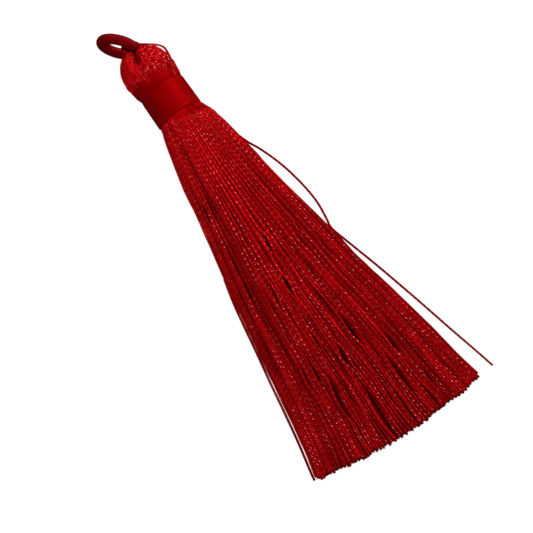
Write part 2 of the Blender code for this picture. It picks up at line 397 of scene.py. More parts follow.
# Floss silk has no twist, so its winding has a wide satin sheen with fine turn lines.
BINDING_SILK = DyedSilk(
    name="wound_floss_silk", body="#A40002", deep="#8E0001", roughness=0.40, dullness=0.20,
    patch_mm=(0.40, 4.0, 4.0), gloss="#FF2020", specular=0.12, fibre_mm=0.30,
    fibre_relief_mm=0.003, tone_spread=0.60, metallic=0.36)
# The ring's floss took a second, bluer dye bath: a maroon with a faint streaked gloss.
RING_SILK = DyedSilk(
    name="maroon_floss_silk", body="#8A020B", deep="#6C0107", roughness=0.42, dullness=0.10,
    patch_mm=(0.9, 0.9, 0.9), gloss="#C05060", specular=0.25, fibre_mm=0.35,
    fibre_relief_mm=0.004, tone_spread=0.30, metallic=0.30)


@dataclass(frozen=True)
class LightTable:
    """An opal acrylic panel lit from below, so even that it takes hardly any shadow."""

    name: str = "opal_acrylic_light_table"
    colours: tuple[str, str] = ("#8C8C8C", "#909090")    # between which its haze wanders
    glow: float = 0.90
    haze_mm: float = 40.0
    roughness: float = 0.9
    specular: float = 0.1

    def material(self) -> Material:
        """Mix the finish.

        Returns:
            It, as a node material.
        """
        material, add = new_material(self.name)
        place = add("ShaderNodeTexCoord").outputs["Object"]
        haze = add("ShaderNodeTexNoise", {"Vector": place, "Scale": 1 / (self.haze_mm * MM)})
        low, high = (linear(colour) for colour in self.colours)
        shade = add("ShaderNodeMix", {MIX_SHARE: haze, MIX_LOW: low, MIX_HIGH: high},
                    data_type="RGBA").outputs[MIX_COLOUR]
        shader = add("ShaderNodeBsdfPrincipled", {
            "Base Color": shade, "Roughness": self.roughness, "Specular IOR Level": self.specular,
            "Emission Color": linear("#FFFFFF"), "Emission Strength": self.glow})
        add("ShaderNodeOutputMaterial", {"Surface": shader})
        return material


# Threads

class PlySection(NamedTuple):
    """A two-ply thread's section: two lobes and a waist, drawn with a few corners."""

    sides: int
    waist: float             # the waist's share of the lobes' reach
    steps: int               # rings of corners from one ply's crown to the next


class Fineness(Enum):
    """How finely threads are spun, by how well they are seen."""

    SEEN = PlySection(4, 0.66, 4)
    DEEP = PlySection(4, 0.62, 3)
    STRAY = PlySection(6, 0.90, 3)


@dataclass
class ThreadSpinner:
    """Spins routes into two-ply threads."""

    width: float = 0.50      # across both plies
    bump: float = 1.0        # along the thread, from one ply's crown to the next
    lobe_sharpness: float = 1.5      # how late the waist swells into the lobes
    tree: NodeTree | None = None

    def build_tree(self) -> NodeTree:
        """Build the geometry tree that twists a two-lobed section along each route.

        Returns:
            The tree.
        """
        tree, given = geometry_tree("two_ply_thread", {
            "Reach": "Float", "Bump Spacing": "Float", "Step": "Float", "Waist": "Float",
            "Sides": "Int", "Silk": "Material"})
        add = partial(add_node, tree)
        curve = add("GeometryNodeMeshToCurve", {"Mesh": given["Geometry"]})
        soft = add("GeometryNodeCurveSplineType", {"Curve": curve}, spline_type="CATMULL_ROM")
        even = add("GeometryNodeResampleCurve", {"Curve": soft, "Length": given["Step"]}, mode="LENGTH")
        length = add("GeometryNodeSplineParameter").outputs["Length"]
        bumps = add("ShaderNodeMath", {0: length, 1: given["Bump Spacing"]}, operation="DIVIDE")
        phase, girth = (add("GeometryNodeInputNamedAttribute", {"Name": name}, data_type="FLOAT")
                        for name in ("phase", "girth"))
        twist = add("ShaderNodeMath", {0: bumps, 1: -math.pi, 2: phase}, operation="MULTIPLY_ADD")
        twisted = add("GeometryNodeSetCurveTilt", {"Curve": even, "Tilt": twist})
        circle = add("GeometryNodeCurvePrimitiveCircle", {
            "Resolution": given["Sides"], "Radius": 1.0}, mode="RADIUS")
        place = add("GeometryNodeInputPosition")
        x = add("ShaderNodeSeparateXYZ", {0: place}).outputs["X"]
        across = add("ShaderNodeMath", {0: x}, operation="ABSOLUTE")
        lobe = add("ShaderNodeMath", {0: across, 1: self.lobe_sharpness}, operation="POWER")
        pinch = add("ShaderNodeMapRange", {"Value": lobe, "To Min": given["Waist"]})
        shaped = add("ShaderNodeVectorMath", {0: place, "Scale": pinch}, operation="SCALE")
        # The crest, how far out on a lobe a corner lies, is what the silk paints the grooves' shade from.
        marked = add("GeometryNodeStoreNamedAttribute", {
            "Geometry": circle, "Name": "crest", "Value": across}, data_type="FLOAT")
        section = add("GeometryNodeSetPosition", {"Geometry": marked, "Position": shaped})
        size = add("ShaderNodeMath", {0: girth, 1: given["Reach"]}, operation="MULTIPLY")
        thread = add("GeometryNodeCurveToMesh", {
            "Curve": twisted, "Profile Curve": section, "Scale": size, "Fill Caps": True})
        return end_tree(tree, thread, given["Silk"], smooth=False)

    def spin(self, name: str, routes: Sequence[Route], fineness: Fineness, silk: Material) -> Object:
        """Spin threads along routes.

        Args:
            name: The piece's name.
            routes: The threads' middle lines.
            fineness: How finely to draw them.
            silk: Their material.

        Returns:
            The piece, as one plain mesh.
        """
        self.tree = self.tree or self.build_tree()
        section = fineness.value
        return grow(line_object(name, routes), self.tree, {
            "Reach": self.width / 2 * MM, "Bump Spacing": self.bump * MM,
            "Step": self.bump / section.steps * MM, "Waist": section.waist,
            "Sides": section.sides, "Silk": silk})

    def untwisted(self, points: Points, grip: Points) -> Points:
        """Work out the turn that keeps a thread's plies straight where it is gripped.

        Args:
            points: The thread's middle line.
            grip: How firmly it is held at each point, from 0 to 1.

        Returns:
            The turn at each point, in radians.
        """
        steps = np.linalg.norm(np.diff(points, axis=0), axis=1)
        held = (grip[1:] + grip[:-1]) / 2 * steps
        return math.pi / self.bump * np.concatenate(([0.0], np.cumsum(held)))


# Skirt

class SkirtLayer(NamedTuple):
    """A layer of threads: how many, and the share of the width that it fills at each end."""

    threads: int
    root_reach: float
    hem_reach: float
    fineness: Fineness


@dataclass
class Partings:
    """Gaps between locks of threads in the skirt."""

    # X and y of one end, x and y of the other, and the width.
    gaps: tuple[tuple[float, ...], ...] = (
        (26.0, 0.1, 33.5, -0.9, 0.45), (34.0, -1.4, 41.0, -1.9, 0.60), (44.5, 3.1, 54.5, 2.8, 0.85),
        (49.0, -0.2, 56.2, -1.3, 0.85), (56.0, -0.4, 71.0, -2.0, 1.10), (51.5, -4.1, 63.5, -6.8, 0.80),
        (52.0, 7.2, 59.5, 7.4, 0.55), (53.5, 5.4, 67.0, 5.2, 0.65), (27.0, 5.4, 33.0, 5.5, 0.30),
        (32.5, 6.8, 39.5, 8.0, 0.25), (29.5, 4.4, 35.2, 4.4, 0.20), (26.0, -3.3, 29.5, -3.7, 0.25),
        (35.5, 3.0, 39.5, 2.9, 0.20), (30.5, -7.2, 38.5, -8.4, 0.20), (32.5, -3.5, 44.0, -5.6, 0.20),
        (43.5, -2.4, 47.5, -2.8, 0.30), (16.5, -5.4, 23.5, -6.9, 0.15), (17.0, -4.7, 23.0, -5.6, 0.10),
        (27.0, -6.7, 32.5, -7.4, 0.10), (60.0, 8.8, 67.5, 9.1, 0.15), (58.0, 13.1, 67.0, 14.4, 0.15),
        (59.0, 1.9, 66.5, 1.4, 0.15), (63.5, 7.5, 71.0, 7.9, 0.30), (45.0, -2.9, 49.8, -3.1, 0.30),
        (50.0, -5.6, 56.5, -7.2, 0.35), (42.5, -6.6, 48.0, -7.1, 0.15), (41.5, -10.2, 48.0, -11.1, 0.10),
        (56.3, -2.9, 61.0, -4.6, 0.10), (62.3, -5.3, 67.0, -6.4, 0.15), (64.0, -11.3, 71.0, -11.9, 0.20),
        (48.0, -7.2, 56.5, -9.0, 0.15))
    layers: Pair = (2.0, 5.0)    # up from which they open, and from which fully
    blunt: float = 0.8           # how each narrows to its ends: 1 is a plain sine
    hold: float = 3.0            # how soon past its ends it moves the threads
    fade: float = 1.2            # how far threads may cross its ends
    soft: float = 0.14           # over which threads bunch up beside it

    def clear(self, x: Points, y: Points, level: int, width: float) -> Points:
        """Push a thread aside where it would close a parting.

        Args:
            x: Places along the thread.
            y: Its sideways places there.
            level: Its layer. The lowest layers close the gaps underneath.
            width: The thread's width.

        Returns:
            The sideways places, clear of every parting.
        """
        depth = np.interp(level, self.layers, (0.0, 1.0))
        moved = y
        for start_x, start_y, end_x, end_y, gap in self.gaps:
            share = (x - start_x) / (end_x - start_x)
            swell = np.sin(math.pi * np.clip(share, 0.0, 1.0)) ** self.blunt
            line = blend(start_y, end_y, share)
            side = 1.0 if np.interp((start_x + end_x) / 2, x, moved - line) >= 0 else -1.0
            away = side * (moved - line)
            edge = (gap + width) / 2 * depth * swell
            edge -= (1 - swell) * self.fade
            cleared = edge + self.soft * np.logaddexp(0.0, (away - edge) / self.soft)
            hold = depth * np.clip(self.hold * swell, 0.0, 1.0)
            moved = blend(moved, line + side * cleared, hold)
        return moved


@dataclass
class SkirtDyeAndShade:
    """How the skirt's threads took the dye, alike in a lock, with painted shade in soft bands, towards the
    hem and at the cut end.
    """

    lock_rates: tuple[float, ...] = (9.0, 17.0, 31.0)    # how fast the locks' tone turns across
    shade_band_lengths: Pair = (6.5, 11.0)     # of the bands of painted shade along a thread, and of their bend
    shade_band_rates: Pair = (4.0, 26.0)       # and how fast each turns across
    share: float = 0.5           # of the locks' dye and of the bands' painted shade in a thread's tone
    spread: float = 0.3          # of single threads' tone
    shaded: Pair = (14.0, 48.0)  # over which painted shade deepens the threads towards the hem
    shade_depth: float = 0.5     # by this much
    hem_shade: float = 0.8       # and by this much more painted shade at the cut end
    tone_limits: Pair = (-1.3, 1.0)

    def tone(self, chance: Chance, x: Points, place: float, starts: Points) -> Points:
        """Work out a thread's tone along it: its dye, and painted shade in bands and towards the hem.

        Args:
            chance: The seeded source of chance.
            x: Places along the thread.
            place: Its place across the layer, from -1 to 1.
            starts: Where the layer's waves of tone start, in radians.

        Returns:
            The tone at each place.
        """
        lock = np.mean([math.sin(rate * place + start) for rate, start in zip(self.lock_rates, starts)])
        (length, bend), (turn, rate) = self.shade_band_lengths, self.shade_band_rates
        # Painted shade: soft bands that stand in for the shade of the locks' ridges and valleys.
        painted_band_shade = np.sin(x / length + turn * place + starts[0]) * np.sin(
            rate * place + np.sin(x / bend) + starts[1])
        # Painted shade: darker towards the hem, and darker still at the cut end.
        painted_falloff = np.interp(x, self.shaded, (0.0, self.shade_depth))
        painted_falloff[-1] += self.hem_shade
        tone = self.share * (lock + painted_band_shade) + chance.normal(0.0, self.spread) - painted_falloff
        return np.clip(tone, *self.tone_limits)


@dataclass
class SkirtThreads:
    """The skein below the neck: layers of threads that fan out and settle on the table."""

    spinner: ThreadSpinner
    partings: Partings = field(default_factory=Partings)
    dye_and_shade: SkirtDyeAndShade = field(default_factory=SkirtDyeAndShade)
    # Half widths towards +Y and -Y, and how far the layers have settled.
    sections: Measures = Measures(
        "x right left settle",
        (1.2, 3.45, 3.45, 0.00), (2.5, 3.65, 3.65, 0.00), (3.05, 4.32, 4.26, 0.00),
        (4.0, 4.80, 4.42, 0.00), (5.4, 5.34, 4.89, 0.01), (8.2, 5.97, 5.61, 0.06),
        (13.7, 6.84, 6.91, 0.26), (17.0, 7.27, 7.42, 0.39), (24.6, 8.62, 8.74, 0.62),
        (30.0, 9.62, 9.86, 0.74), (35.6, 10.64, 10.90, 0.85), (40.0, 11.25, 11.67, 0.91),
        (46.5, 12.66, 12.68, 1.00), (57.3, 14.74, 14.37, 1.00), (62.5, 15.49, 15.32, 1.00),
        (66.8, 16.36, 16.40, 1.00), (70.5, 17.26, 16.95, 1.00))
    layers: tuple[SkirtLayer, ...] = (
        SkirtLayer(30, 0.51, 0.80, Fineness.DEEP), SkirtLayer(40, 0.80, 0.95, Fineness.DEEP),
        SkirtLayer(50, 0.94, 0.99, Fineness.DEEP), SkirtLayer(57, 1.00, 1.00, Fineness.SEEN),
        SkirtLayer(54, 0.94, 0.96, Fineness.SEEN), SkirtLayer(50, 0.80, 0.85, Fineness.SEEN),
        SkirtLayer(42, 0.51, 0.62, Fineness.SEEN))
    # Where the skirt was cut, at x, for threads that end at y.
    hem: Measures = Measures(
        "y x", (-17.0, 66.9), (-16.2, 66.8), (-15.1, 67.8), (-14.7, 67.4), (-14.1, 67.4),
        (-13.1, 67.9), (-12.6, 67.6), (-11.2, 68.0), (-10.3, 68.5), (-9.8, 68.1), (-9.0, 68.6),
        (-8.3, 68.5), (-7.1, 69.1), (-6.5, 68.8), (-5.6, 68.7), (-4.0, 69.3), (-3.6, 69.0),
        (-2.8, 69.3), (0.0, 69.4), (3.8, 69.5), (4.5, 69.3), (4.8, 69.7), (5.1, 69.3), (6.5, 69.1),
        (8.0, 69.2), (9.2, 69.0), (12.6, 69.1), (13.8, 68.9), (15.1, 68.5), (16.0, 68.6),
        (16.4, 67.6), (17.4, 67.2))
    neck_x: float = 3.05         # where the threads leave the binding
    near_stations: int = 5       # sections that threads follow point by point, by the neck
    stations_from: float = 6.4   # and from where their points are evenly spaced
    station_step: float = 1.6
    root_radius: float = 3.86    # of the outermost layer where it leaves the neck
    root_rows: int = 3           # rows that a layer is squeezed into there
    row_pitch: float = 0.34
    edge_row: float = 0.3        # share of a row's pitch that is left at its layer's edge
    root_rise: float = 0.20      # of the bundle past the binding
    rise_from: float = 2.05      # and from where under the binding it rises
    root_ramp: float = 1.3       # over which a layer meets the next one out
    hem_pitch: float = 0.47      # between layers once they have settled
    hem_ramp: float = 4.2        # over which a layer sinks past the one below
    squeezed: float = 0.06       # room that a thread takes by the neck
    settled_room: float = 0.38   # and where it lies free, pressed on its neighbours
    free_x: float = 16.0         # from where it lies free
    ease_rounds: int = 2         # of smoothing a thread's bends over those under it
    gripped: Pair = (3.3, 4.4)   # from where the binding's grip lets plies turn
    grip_reach: float = 1.6      # how much farther it holds the threads on the right
    grip_side: Pair = (-1.8, 0.6)    # across which y it comes to hold them farther
    held_phase: float = 1.57     # how the plies lie while it does
    edge_share: float = 0.95     # threads past this share of the width lie untwisted
    place_jitter: float = 0.2    # of a thread in its row, as a share of its room
    edge_crowding: float = 0.15  # how much closer threads lie at the edges
    edge_hold: int = 6           # how sharply straying ends towards the edges
    wander: float = 0.10         # of one thread by itself
    wander_wave: float = 22.0
    drift: float = 0.030         # of neighbours that stray as one lock, as a share of the width
    # Of the waves that locks stray in: length, turn across the skirt, start and size.
    lock_waves: tuple[tuple[float, ...], ...] = (
        (70.0, 4.0, 0.3, 0.50), (41.0, 9.0, 2.1, 0.30), (23.0, 17.0, 4.0, 0.20))
    lock_shift: float = 0.12     # of the waves from layer to layer, in radians
    ridge_height: float = 0.34   # of the locks in the free skirt
    # Of the waves of ridges: turn across the skirt, turn per millimetre of x, start and size.
    ridge_waves: tuple[tuple[float, ...], ...] = ((17.0, 0.055, 0.4, 0.55), (31.0, -0.04, 2.0, 0.45))
    hem_ragged: float = 0.06     # of one thread
    layer_step: float = 0.05     # by which each layer is shorter than the one under it
    end_points: Pair = (1.1, 0.6)    # before its end: how near the last station comes, and one more point
    slip: float = 0.22           # by which the plies turn unevenly from point to point, in radians
    phase_sway: Pair = (1.3, 3.0)    # by which neighbours' plies differ, and its turn across
    phase_spread: float = 0.45   # and by which any thread's do
    girth_spread: float = 0.05
    girth_wave: float = 9.0
    seed: int = 11

    def __post_init__(self) -> None:
        """Start the source of chance, and the pile of threads: the y and z of each."""
        self.chance = np.random.default_rng(self.seed)
        self.laid: list[tuple[Points, Points]] = []

    def stations(self) -> Points:
        """Return the places along X at which each thread's route has a point."""
        evenly = np.arange(self.stations_from, self.sections.stops[-1], self.station_step)
        return np.concatenate((self.sections.stops[:self.near_stations], evenly, self.sections.stops[-1:]))

    def settle(self, x: Points) -> Points:
        """Return how far the layers have settled at x, from 0 to 1."""
        return self.sections.at("settle", x)

    def width(self, x: Value) -> Points:
        """Return the skirt's width at x."""
        return self.sections.at("right", x) + self.sections.at("left", x)

    def reach(self, level: int, x: Points) -> Points:
        """Return the share of the width that a layer fills at x."""
        layer = self.layers[level]
        return blend(layer.root_reach, layer.hem_reach, self.settle(x))

    def side(self, x: Points, across: Points) -> Points:
        """Return y at a share across the skirt, where -1 and 1 are its edges."""
        left, right = (self.sections.at(edge, x) - self.spinner.width / 2 for edge in ("left", "right"))
        return blend(-left, right, (across + 1) / 2)

    def cover(self, level: int, x: Points, across: Points, thinned: bool = False) -> Points:
        """Work out how far a layer reaches over a place.

        Args:
            level: The layer, counted from the table.
            x: Places along the skirt.
            across: Shares of the width there.
            thinned: Whether the cover fades before the layer's edge instead of past it.

        Returns:
            The cover at each place, from all (1) to none (0).
        """
        ramp = blend(self.root_ramp, self.hem_ramp, self.settle(x))
        past = (np.abs(across) - self.reach(level, x)) * self.width(x) / 2 / ramp
        return 1 - np.clip(past + thinned, 0.0, 1.0)

    def settled_height(self, level: int, x: Points, across: Points) -> Points:
        """Return the height of a layer that lies on those below it."""
        below = sum(self.cover(under, x, across) for under in range(level))
        return self.spinner.width / 2 + self.hem_pitch * below + np.zeros_like(x)

    def root_height(self, level: int, row: float, x: Points, across: Points) -> Points:
        """Work out a layer's height in the round bundle by the neck.

        Args:
            level: The layer, counted from the table.
            row: Which of the layer's rows, counted from its middle.
            x: Places along the skirt.
            across: Shares of the width there.

        Returns:
            The height at each place.
        """
        middle = len(self.layers) // 2
        neck, spread = self.width(self.neck_x), self.width(x)
        squeeze = np.minimum(neck / spread, spread / neck)
        outside = range(level + 1, len(self.layers)) if level > middle else range(level)
        inward = sum(self.cover(other, x, across, thinned=True) for other in outside)
        arch = self.root_radius * np.sqrt(np.clip(1 - across ** 2, 0.0, 1.0))
        out = np.maximum(arch - self.root_radius / middle * inward, 0.0)
        rise = np.interp(x, (self.rise_from, self.neck_x), (0.0, self.root_rise))
        side = (level > middle) - (level < middle)
        pitch = self.row_pitch * blend(self.edge_row, 1.0, self.cover(level, x, across, thinned=True))
        return AXIS_HEIGHT + rise + squeeze * (side * out + row * pitch)

    def ridge(self, x: Points, across: Points) -> Points:
        """Return how far locks of threads stand up in rounded ridges."""
        return self.ridge_height / 2 * (1 + sum(
            size * np.sin(rate * across + bend * x + start)
            for rate, bend, start, size in self.ridge_waves))

    def lock(self, x: Points, place: float, level: int) -> Points:
        """Return how far threads at a place stray as one lock, between about -1 and 1."""
        return sum(size * np.sin(TURN * x / length + rate * place + start + self.lock_shift * level)
                   for length, rate, start, size in self.lock_waves)

    def lay(self, x: Points, y: Points, z: Points) -> Points:
        """Rest a thread on those already laid.

        Args:
            x: The stations.
            y: Its sideways places.
            z: The heights at which it would lie by itself.

        Returns:
            Its heights, clear of the threads below.
        """
        if not self.laid:
            return z
        room = np.interp(x, (self.neck_x, self.free_x), (self.squeezed, self.settled_room))
        under_y, under_z = np.array(self.laid).swapaxes(0, 1)
        reach = room ** 2 - (under_y - y) ** 2
        rest = np.where(reach > 0, under_z + np.sqrt(np.maximum(reach, 0.0)), 0.0).max(axis=0)
        rest[x < self.neck_x] = 0.0
        height = np.maximum(z, rest)
        for _ in range(self.ease_rounds):
            eased = height.copy()
            eased[1:-1] = (height[:-2] + 2 * height[1:-1] + height[2:]) / 4
            height = np.maximum(eased, rest)
        return height

    def thread_line(self, level: int, row: float, place: float) -> Points:
        """Lay one thread on the pile and cut it at the hem.

        Args:
            level: Its layer.
            row: Its row in the neck, counted from the layer's middle.
            place: Its place across the layer, from -1 to 1.

        Returns:
            Its middle line.
        """
        x = self.stations()
        settle = self.settle(x)
        loose = settle * (1 - np.clip(abs(place), 0, 1) ** self.edge_hold)
        across = place + self.drift * self.lock(x, place, level) * loose
        across = np.clip(across, -1.0, 1.0) * self.reach(level, x)
        rounded = math.sin(np.clip(place, -1, 1) * math.asin(self.layers[level].root_reach))
        across = blend(rounded, across, np.sqrt(settle))
        y = self.side(x, across) + self.wander * smooth_noise(self.chance, x, self.wander_wave) * loose
        y = self.partings.clear(x, y, level, self.spinner.width)
        root = self.root_height(level, row, x, across)
        z = blend(root, self.settled_height(level, x, across), settle)
        z = np.maximum(z + settle * self.ridge(x, across), self.spinner.width / 2)
        z = self.lay(x, y, z)
        self.laid.append((y, z))
        end_y = np.interp(self.hem.at("x", y[-1]), x, y)
        end = self.hem.at("x", end_y) - level * self.layer_step
        end += self.chance.uniform(-1, 1) * self.hem_ragged
        last, extra = self.end_points
        stops = np.append(x[x < end - last], (end - extra, end))
        return np.stack((stops, np.interp(stops, x, y), np.interp(stops, x, z)), axis=1)

    def twist(self, points: Points, level: int, place: float) -> Points:
        """Work out how far a thread's plies are turned along it.

        Args:
            points: Its middle line.
            level: Its layer.
            place: Its place across the layer, from -1 to 1.

        Returns:
            The phase at each point, in radians.
        """
        slip = np.cumsum(self.chance.normal(0.0, self.slip, len(points)))
        sway, rate = self.phase_sway
        phase = sway * math.sin(rate * place + level) + self.chance.normal(0.0, self.phase_spread) + slip
        held_on = self.grip_reach * np.interp(points[0, 1], self.grip_side, (0.0, 1.0))
        grip = np.interp(points[:, 0] - held_on, self.gripped, (1, 0))
        phase = blend(phase, self.held_phase, grip)
        if self.layers[level].hem_reach == 1.0 and abs(place) > self.edge_share:
            grip[:] = 1.0
        return phase + self.spinner.untwisted(points, grip)

    def layer_routes(self, level: int) -> list[Route]:
        """Route every thread of one layer, and add it to the pile.

        Args:
            level: The layer, counted from the table.

        Returns:
            The layer's routes.
        """
        threads = self.layers[level].threads
        tone_starts = self.chance.uniform(0.0, TURN, len(self.dye_and_shade.lock_rates))
        routes = []
        for row in range(self.root_rows):
            for index in range(row, threads, self.root_rows):
                jitter = self.chance.uniform(-self.place_jitter, self.place_jitter)
                place = 2 * (index + jitter) / (threads - 1) - 1
                place *= 1 + self.edge_crowding * (1 - place ** 2)
                points = self.thread_line(level, row - (self.root_rows - 1) / 2, place)
                phase = self.twist(points, level, place)
                stops = points[:, 0]
                girth = 1.0 + self.girth_spread * smooth_noise(self.chance, stops, self.girth_wave)
                tone = self.dye_and_shade.tone(self.chance, stops, place, tone_starts)
                routes.append(Route(points, phase, girth, tone))
        return routes

    def build(self, silk: Material) -> list[Object]:
        """Spin the skirt, one piece for each layer, on its mass of inner threads.

        Args:
            silk: The threads' material.

        Returns:
            The pieces, from the table up.
        """
        return [SkirtMat(self).build(silk)] + [
            self.spinner.spin(f"skirt_layer_{level + 1}", self.layer_routes(level), layer.fineness, silk)
            for level, layer in enumerate(self.layers)]


@dataclass
class SkirtMat:
    """The mass of the skirt's inner threads, which shows only as dark in the partings."""

    skirt: SkirtThreads
    layers: tuple[int, ...] = (1, 2, 5)      # whose width, settled and neck height it takes
    row: float = -1.0            # and the last one's row, counted from its middle
    inset: float = 0.55
    ends: Pair = (1.5, 69.4)
    sides: int = 17              # points across it
    narrow: float = 0.04         # by which it is narrower than its layer, as a share of the width
    floor: float = 0.10
    least: float = 0.08          # thickness
    short: float = 0.35          # of the hem

    def build(self, silk: Material) -> Object:
        """Model the mass as a closed mat under the upper layers.

        Args:
            silk: Its material.

        Returns:
            The piece.
        """
        skirt = self.skirt
        stations = skirt.stations()
        start, end = self.ends
        wide, settled, high = self.layers
        shares = np.linspace(-1.0, 1.0, self.sides)
        rings = []
        for place in (start, *stations[(stations > start) & (stations < end)], end):
            x = np.full_like(shares, place)
            settle = skirt.settle(x)
            across = shares * (skirt.reach(wide, x) - self.narrow)
            y = skirt.side(x, across)
            root = skirt.root_height(high, self.row, x, across)
            top = blend(root, skirt.settled_height(settled, x, across), settle) - self.inset
            bottom = np.maximum((2 * AXIS_HEIGHT - root) * (1 - settle), self.floor)
            top = np.maximum(top, bottom + self.least)
            x = np.minimum(x, skirt.hem.at("x", y) - self.short)
            upper, lower = (np.stack((x, y, z), axis=1) for z in (top, bottom))
            rings.append(np.concatenate((upper, lower[::-1])))
        return loft("skirt_inner_threads", rings, silk)


# Windings

class Strand(NamedTuple):
    """A flat strand of floss: its size, how often it goes round its core, and in what steps."""

    width: float
    depth: float
    turns: int
    steps: int               # points to a turn


@dataclass
class Winder:
    """Winds a flat strand of floss round a core."""

    unevenness: float = 0.25     # of the turns' spacing
    uneven_waves: float = 140.0  # of it along the strand
    sides: int = 6               # of the strand's section
    tree: NodeTree | None = None

    def build_tree(self) -> NodeTree:
        """Build the geometry tree that coils a strand round a core line.

        Returns:
            The tree.
        """
        tree, given = geometry_tree("wound_strand", {
            "Turning": "Float", "Unevenness": "Float", "Strand Width": "Float",
            "Strand Depth": "Float", "Lowest": "Float", "Points": "Int", "Silk": "Material"})
        add = partial(add_node, tree)
        core = add("GeometryNodeMeshToCurve", {"Mesh": given["Geometry"]})
        line = add("GeometryNodeCurvePrimitiveLine")
        strand = add("GeometryNodeResampleCurve", {"Curve": line, "Count": given["Points"]}, mode="COUNT")
        share = add("GeometryNodeSplineParameter")
        noise = add("ShaderNodeTexNoise", {"W": share, "Scale": self.uneven_waves, "Detail": 1.0},
                    noise_dimensions="1D")
        stray = add("ShaderNodeMath", {0: noise, 1: 0.5}, operation="SUBTRACT")
        moved = add("ShaderNodeMath", {0: stray, 1: given["Unevenness"], 2: share},
                    operation="MULTIPLY_ADD")
        radius = add("GeometryNodeInputNamedAttribute", {"Name": "girth"}, data_type="FLOAT")
        sample = add("GeometryNodeSampleCurve", {"Curves": core, "Factor": moved, "Value": radius},
                     mode="FACTOR").outputs
        angle = add("ShaderNodeMath", {0: share, 1: given["Turning"]}, operation="MULTIPLY")
        outward = add("ShaderNodeVectorRotate", {
            "Vector": sample["Normal"], "Axis": sample["Tangent"], "Angle": angle})
        wound = add("ShaderNodeVectorMath", {0: outward, 1: sample["Value"], 2: sample["Position"]},
                    operation="MULTIPLY_ADD")
        # The floor's X and Y lie far outside, so that it lifts Z alone.
        floor = add("ShaderNodeCombineXYZ", {"X": -1.0, "Y": -1.0, "Z": given["Lowest"]})
        rested = add("ShaderNodeVectorMath", {0: wound, 1: floor}, operation="MAXIMUM")
        facing = add("GeometryNodeCaptureAttribute", {"Geometry": strand})
        facing.capture_items.new("VECTOR", "Outward")
        tree.links.new(outward.outputs[0], facing.inputs["Outward"])
        coiled = add("GeometryNodeSetPosition", {"Geometry": facing, "Position": rested})
        turned = add("GeometryNodeSetCurveNormal", {
            "Curve": coiled, "Normal": facing.outputs["Outward"]}, mode="FREE")
        circle = add("GeometryNodeCurvePrimitiveCircle", {"Resolution": self.sides, "Radius": 0.5},
                     mode="RADIUS")
        sizes = add("ShaderNodeCombineXYZ", {
            "X": given["Strand Depth"], "Y": given["Strand Width"], "Z": 1.0})
        flat = add("GeometryNodeTransform", {"Geometry": circle, "Scale": sizes})
        mesh = add("GeometryNodeCurveToMesh", {
            "Curve": turned, "Profile Curve": flat, "Fill Caps": True})
        return end_tree(tree, mesh, given["Silk"], smooth=True)

    def wind(self, name: str, middle: Points, radius: Value, strand: Strand, silk: Material,
             closed: bool = False) -> Object:
        """Wind a strand round a core, and keep it above the table.

        Args:
            name: The piece's name.
            middle: The core's middle line.
            radius: From there to the middle of the strand.
            strand: What is wound.
            silk: Its material.
            closed: Whether the core is a ring.

        Returns:
            The piece, as one plain mesh.
        """
        self.tree = self.tree or self.build_tree()
        core = line_object(name, [Route(middle, girth=radius * MM)], closed)
        return grow(core, self.tree, {
            "Turning": TURN * strand.turns, "Unevenness": self.unevenness / strand.turns,
            "Strand Width": strand.width * MM, "Strand Depth": strand.depth * MM,
            "Lowest": strand.depth / 2 * MM, "Points": strand.turns * strand.steps + 1, "Silk": silk})


@dataclass
class HangingRing:
    """A round ring close wound with floss silk, swung to one side in the fold."""

    radius: float = 3.00         # of its middle line
    thickness: float = 1.92
    centre: Triple = (-13.20, -1.90, 4.45)
    yaw: float = 42.6            # degrees between the tassel's axis and the ring
    lean: float = 6.5            # degrees between the ring's plane and upright
    strand: Strand = Strand(0.36, 0.22, 92, 14)
    wound_points: int = 96       # of the line that it is wound round
    cleared_points: int = 120    # and of the line that threads keep clear of

    def placement(self) -> Matrix:
        """Stand the ring in the fold.

        Returns:
            Its placement in millimetres: inward to the head, upward in its plane, and across.
        """
        yaw, lean = math.radians(self.yaw), math.radians(self.lean)
        inward = Vector((math.cos(yaw), math.sin(yaw), 0.0))
        sideways = Vector((-math.sin(yaw), math.cos(yaw), 0.0))
        upward = sideways * math.sin(lean) + Vector((0.0, 0.0, math.cos(lean)))
        placement = Matrix((inward, upward, inward.cross(upward))).transposed().to_4x4()
        placement.translation = self.centre
        return placement

    def middle_line(self, count: int) -> Points:
        """Return points round the ring's middle line."""
        turns = TURN / count * np.arange(count)
        return np.array([self.placement() @ Vector((self.radius * math.cos(turn),
                                                    self.radius * math.sin(turn), 0.0)) for turn in turns])

    def clear(self, points: Points, room: float) -> Points:
        """Push points out of the ring.

        Args:
            points: Places in millimetres.
            room: The least distance from the ring's surface.

        Returns:
            The places, each at least that far from it.
        """
        line = self.middle_line(self.cleared_points)
        least = self.thickness / 2 + room
        moved = points.copy()
        for index, point in enumerate(moved):
            away = point - line
            distance = np.linalg.norm(away, axis=1)
            near = int(distance.argmin())
            if distance[near] < least:
                moved[index] = line[near] + away[near] / distance[near] * least
        return moved

    def build(self, winder: Winder, silk: Material) -> Object:
        """Wind the ring as one long strand."""
        return winder.wind("hanging_ring_winding", self.middle_line(self.wound_points),
                           (self.thickness - self.strand.depth) / 2, self.strand, silk, closed=True)


